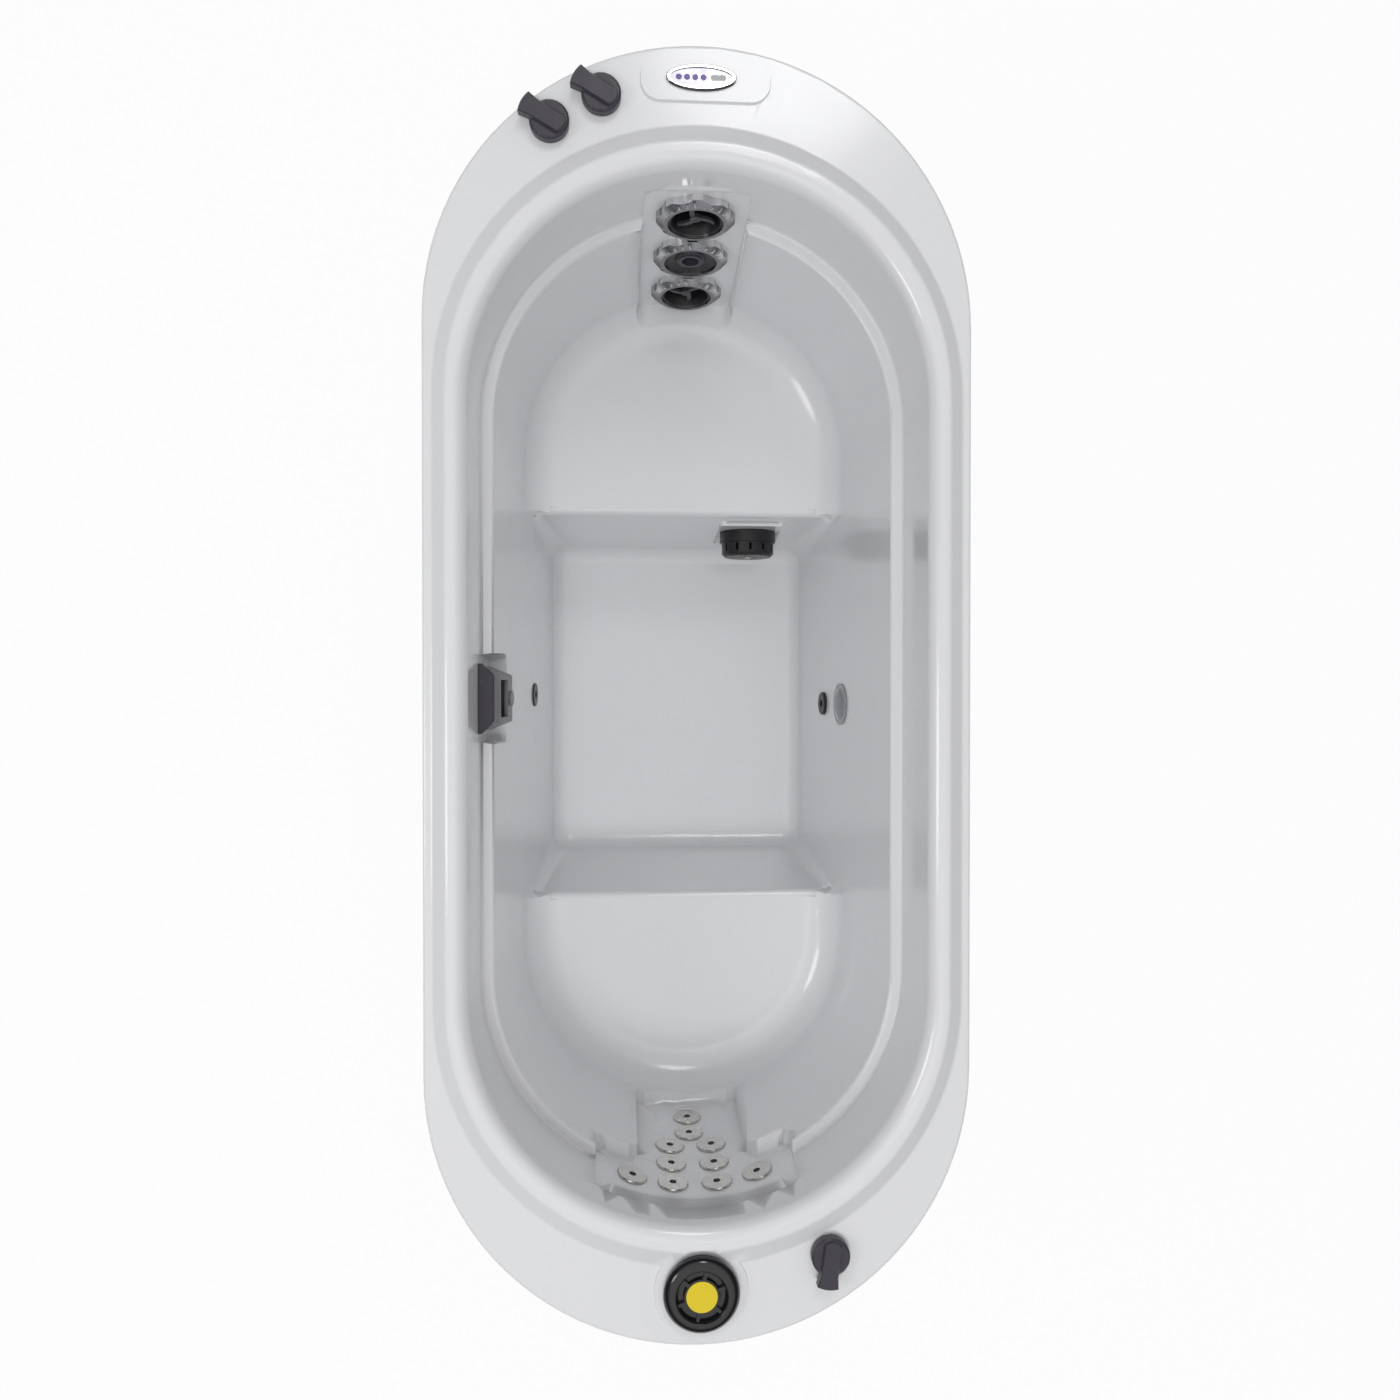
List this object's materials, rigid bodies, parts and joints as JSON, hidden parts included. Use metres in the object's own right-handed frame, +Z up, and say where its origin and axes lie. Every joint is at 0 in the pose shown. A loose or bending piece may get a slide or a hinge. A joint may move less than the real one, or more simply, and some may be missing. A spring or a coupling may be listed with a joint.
{
  "type": "hot tub",
  "caption": "Oval free-standing hot tub with facing seats round a central footwell, hydrotherapy jets, deck controls, wall skimmer and filter canister.",
  "frame": {"origin": "on the floor, under the middle of the tub", "axes": "+Z up, +Y along the tub towards the large jets, +X towards the underwater light"},
  "size_m": [0.846, 2, 0.868],
  "materials": {
    "acrylic_white": "glossy moulded acrylic",
    "chrome_trim": "mirror",
    "stainless": "satin",
    "black_plastic": "satin",
    "gloss_black": "glossy",
    "charcoal_plastic": "satin",
    "grey_plastic": "satin",
    "rubber_seal": "matt",
    "lens_grey": "translucent",
    "silver_plate": "satin",
    "display_dark": "glossy",
    "key_violet": "satin",
    "yellow_disc": "satin",
    "filter_paper": "pleated non-woven",
    "cabinet_grey": "textured moulded",
    "base_black": "textured",
    "frame_plastic": "matt",
    "motor_blue": "painted",
    "pipe_white": "smooth",
    "hose_clear": "flexible vinyl"
  },
  "bodies": {
    "tub": {"air_control_bodies": "black_plastic", "air_lines": "hose_clear", "base_pan": "base_black", "cable_gland": "black_plastic", "control_box": "grey_plastic", "control_box_lid": "grey_plastic", "diverter_body": "black_plastic", "drain_valve": "black_plastic", "end_panel": "cabinet_grey", "filter_canister": "gloss_black", "frame": "frame_plastic", "heater_tube": "stainless", "jet_bodies": "black_plastic", "jet_gaskets": "rubber_seal", "light_housing": "black_plastic", "light_lens": "lens_grey", "lock_nuts": "black_plastic", "panel_bezel": "chrome_trim", "panel_display": "display_dark", "panel_face": "silver_plate", "panel_housing": "black_plastic", "panel_trims": "base_black", "pressure_line": "pipe_white", "pump_motor": "motor_blue", "pump_wet_end": "black_plastic", "return_jet_left": "black_plastic", "return_jet_right": "black_plastic", "shell": "acrylic_white", "side_panel_left": "cabinet_grey", "side_panel_right": "cabinet_grey", "skimmer_front": "grey_plastic", "skimmer_hood": "charcoal_plastic", "skimmer_housing": "pipe_white", "small_jet_bodies": "black_plastic", "small_jet_faces": "stainless", "suction_body": "black_plastic", "suction_cover": "black_plastic", "suction_line": "pipe_white", "top_band": "frame_plastic"},
    "jet_face_1": {"jet_face_1": "chrome_trim"},
    "jet_face_2": {"jet_face_2": "chrome_trim"},
    "jet_face_3": {"jet_face_3": "chrome_trim"},
    "jet_rotor_1": {"jet_rotor_1": "charcoal_plastic"},
    "jet_rotor_3": {"jet_rotor_3": "charcoal_plastic"},
    "jet_nozzle_2": {"jet_nozzle_2": "charcoal_plastic"},
    "air_knob_1": {"air_knob_1": "charcoal_plastic"},
    "air_knob_2": {"air_knob_2": "charcoal_plastic"},
    "diverter_knob": {"diverter_knob": "charcoal_plastic"},
    "filter_lift": {"filter_cap_gasket": "rubber_seal", "filter_cartridge": "filter_paper"},
    "filter_cap": {"filter_cap": "gloss_black", "filter_cap_disc": "yellow_disc"},
    "skimmer_weir": {"skimmer_weir": "grey_plastic"},
    "panel_key_1": {"panel_key_1": "key_violet"},
    "panel_key_2": {"panel_key_2": "key_violet"},
    "panel_key_3": {"panel_key_3": "key_violet"},
    "panel_key_4": {"panel_key_4": "key_violet"},
    "access_panel": {"access_panel": "cabinet_grey"},
    "drain_cap": {"drain_cap": "black_plastic"}
  },
  "joints": [
    {"name": "jet_face_1_turn", "type": "hinge", "parent": "tub", "child": "jet_face_1", "pos_m": [0, 0.79524, 0.71], "axis": [0, -0.994, 0.1097], "range_deg": [0, 100]},
    {"name": "jet_face_2_turn", "type": "hinge", "parent": "tub", "child": "jet_face_2", "pos_m": [0, 0.78045, 0.576], "axis": [0, -0.994, 0.1097], "range_deg": [0, 100]},
    {"name": "jet_face_3_turn", "type": "hinge", "parent": "tub", "child": "jet_face_3", "pos_m": [0, 0.76565, 0.442], "axis": [0, -0.994, 0.1097], "range_deg": [0, 100]},
    {"name": "jet_rotor_1_spin", "type": "hinge", "parent": "tub", "child": "jet_rotor_1", "pos_m": [0, 0.79524, 0.71], "axis": [0, -0.994, 0.1097], "continuous": true},
    {"name": "jet_rotor_3_spin", "type": "hinge", "parent": "tub", "child": "jet_rotor_3", "pos_m": [0, 0.76565, 0.442], "axis": [0, -0.994, 0.1097], "continuous": true},
    {"name": "jet_nozzle_2_tilt", "type": "hinge", "parent": "tub", "child": "jet_nozzle_2", "pos_m": [0, 0.78641, 0.57534], "axis": [1, 0, 0], "range_deg": [-12, 12]},
    {"name": "air_knob_1_turn", "type": "hinge", "parent": "tub", "child": "air_knob_1", "pos_m": [-0.23, 0.871, 0.852], "axis": [0, 0, 1], "range_deg": [0, 120]},
    {"name": "air_knob_2_turn", "type": "hinge", "parent": "tub", "child": "air_knob_2", "pos_m": [-0.152, 0.914, 0.852], "axis": [0, 0, 1], "range_deg": [0, 120]},
    {"name": "diverter_knob_turn", "type": "hinge", "parent": "tub", "child": "diverter_knob", "pos_m": [0.2, -0.861, 0.852], "axis": [0, 0, 1], "range_deg": [-90, 90]},
    {"name": "filter_lift", "type": "slide", "parent": "tub", "child": "filter_lift", "axis": [0, 0, 1], "range_m": [0, 0.42]},
    {"name": "filter_cap_turn", "type": "hinge", "parent": "filter_lift", "child": "filter_cap", "pos_m": [0, -0.913, 0.8516], "axis": [0, 0, 1], "range_deg": [0, 60]},
    {"name": "skimmer_weir_swing", "type": "hinge", "parent": "tub", "child": "skimmer_weir", "pos_m": [-0.35503, 0, 0.654], "axis": [0, 1, 0], "range_deg": [0, 40]},
    {"name": "panel_key_1_press", "type": "slide", "parent": "tub", "child": "panel_key_1", "axis": [0, 0, -1], "range_m": [0, 0.0005], "stiffness_N_per_m": 400, "springref_m": -0.00002},
    {"name": "panel_key_2_press", "type": "slide", "parent": "tub", "child": "panel_key_2", "axis": [0, 0, -1], "range_m": [0, 0.0005], "stiffness_N_per_m": 400, "springref_m": -0.00002},
    {"name": "panel_key_3_press", "type": "slide", "parent": "tub", "child": "panel_key_3", "axis": [0, 0, -1], "range_m": [0, 0.0005], "stiffness_N_per_m": 400, "springref_m": -0.00002},
    {"name": "panel_key_4_press", "type": "slide", "parent": "tub", "child": "panel_key_4", "axis": [0, 0, -1], "range_m": [0, 0.0005], "stiffness_N_per_m": 400, "springref_m": -0.00002},
    {"name": "access_panel_pull", "type": "slide", "parent": "tub", "child": "access_panel", "axis": [0, 1, 0], "range_m": [0, 0.3]},
    {"name": "drain_cap_pull", "type": "slide", "parent": "tub", "child": "drain_cap", "axis": [0, -1, 0], "range_m": [0, 0.05]}
  ]
}
